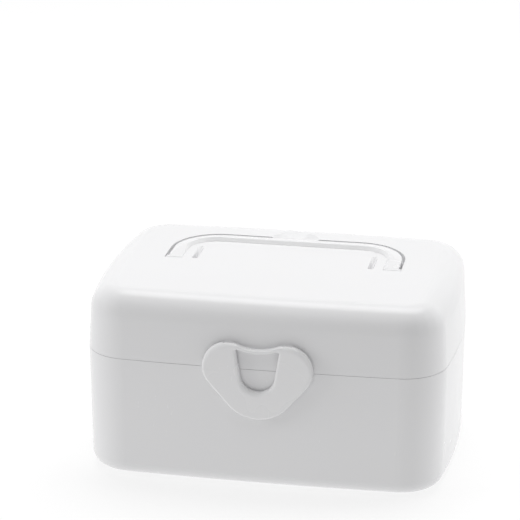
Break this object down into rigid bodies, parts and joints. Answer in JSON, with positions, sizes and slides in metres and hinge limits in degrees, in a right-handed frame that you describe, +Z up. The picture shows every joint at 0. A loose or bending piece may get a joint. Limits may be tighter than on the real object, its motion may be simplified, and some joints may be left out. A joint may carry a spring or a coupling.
{
  "type": "sewing bobbin winder",
  "caption": "Portable motor-driven sewing bobbin winder in a white clamshell case with a fold-down carrying handle and a front latch.",
  "frame": {"origin": "on the table under the middle of the closed case", "axes": "+Z up; the latch side, the front, faces -Y; +X is to the right seen from the front"},
  "size_m": [0.165, 0.1218, 0.0874],
  "materials": {
    "case_white": "smooth gloss",
    "handle_white": "smooth gloss",
    "latch_white": "smooth gloss",
    "deck_white": "fine satin texture",
    "grey_plastic": "satin",
    "black_plastic": "satin",
    "foot_rubber": "matte",
    "steel": "ground",
    "plated_steel": "bright plated",
    "bronze": "sintered bronze, matt",
    "brass_contact": "plain",
    "felt": "pressed felt",
    "gear_plastic": "natural acetal"
  },
  "bodies": {
    "case": {"base_shell": "case_white", "hinge_pins": "steel", "rubber_feet": "foot_rubber", "battery_tray": "grey_plastic", "battery_springs": "plated_steel", "battery_plates": "plated_steel", "dc_jack": "black_plastic", "jack_nut": "plated_steel", "deck_plate": "deck_white", "deck_screws": "plated_steel", "spool_pin": "deck_white", "spool_felt": "felt", "tension_post": "plated_steel", "tension_disc_lower": "plated_steel", "tension_disc_upper": "plated_steel", "tension_spring": "steel", "thread_guide": "plated_steel", "thread_cutter": "grey_plastic", "cutter_blade": "steel", "spindle_bush_lower": "bronze", "spindle_bush_upper": "bronze", "motor_can": "plated_steel", "motor_endcap": "black_plastic", "motor_terminals": "brass_contact", "motor_plate": "steel", "plate_screws": "plated_steel", "motor_screws": "plated_steel", "microswitch": "black_plastic", "switch_screws": "plated_steel"},
    "lid": {"lid_shell": "case_white", "handle_pins": "steel"},
    "handle": {"carry_handle": "handle_white"},
    "latch": {"latch": "latch_white", "latch_pins": "steel"},
    "spindle": {"bobbin_spindle": "steel", "bobbin_seat": "grey_plastic", "spindle_circlip": "steel", "spindle_gear": "gear_plastic"},
    "motor_rotor": {"motor_shaft": "steel", "motor_pinion": "brass_contact"},
    "stop_lever": {"stop_lever": "grey_plastic", "lever_tip": "foot_rubber", "lever_shaft": "steel", "switch_arm": "grey_plastic"},
    "switch_plunger": {"switch_plunger": "gear_plastic"},
    "tension_knob": {"tension_knob": "grey_plastic"},
    "battery_door": {"battery_door": "case_white"}
  },
  "joints": [
    {"name": "lid_hinge", "type": "hinge", "parent": "case", "child": "lid", "pos_m": [0, 0.05808, 0.0566], "axis": [-1, 0, 0], "range_deg": [0, 105]},
    {"name": "handle_pivot", "type": "hinge", "parent": "lid", "child": "handle", "pos_m": [0, 0.0021, 0.0835], "axis": [1, 0, 0], "range_deg": [0, 92]},
    {"name": "latch_pivot", "type": "hinge", "parent": "lid", "child": "latch", "pos_m": [0, -0.0592, 0.0677], "axis": [-1, 0, 0], "range_deg": [0, 60]},
    {"name": "spindle_spin", "type": "hinge", "parent": "case", "child": "spindle", "pos_m": [0.038, 0.002, 0.04], "axis": [0, 0, 1], "continuous": true},
    {"name": "motor_spin", "type": "hinge", "parent": "case", "child": "motor_rotor", "pos_m": [0.038, -0.01175, 0.03], "axis": [0, 0, 1], "continuous": true},
    {"name": "stop_lever_pivot", "type": "hinge", "parent": "case", "child": "stop_lever", "pos_m": [0.061, -0.021, 0.04], "axis": [0, 0, 1], "range_deg": [0, 18]},
    {"name": "switch_plunger_slide", "type": "slide", "parent": "case", "child": "switch_plunger", "axis": [1, 0, 0], "range_m": [0, 0.0011]},
    {"name": "tension_knob_turn", "type": "hinge", "parent": "case", "child": "tension_knob", "pos_m": [-0.006, 0.038, 0.058], "axis": [0, 0, 1], "range_deg": [-180, 180]},
    {"name": "battery_door_slide", "type": "slide", "parent": "case", "child": "battery_door", "axis": [-1, 0, 0], "range_m": [0, 0.0032]}
  ],
  "couplings": [
    {"joint": "motor_spin", "follows": "spindle_spin", "ratio": -4},
    {"joint": "switch_plunger_slide", "follows": "stop_lever_pivot", "m_per_rad": 0.0035}
  ]
}
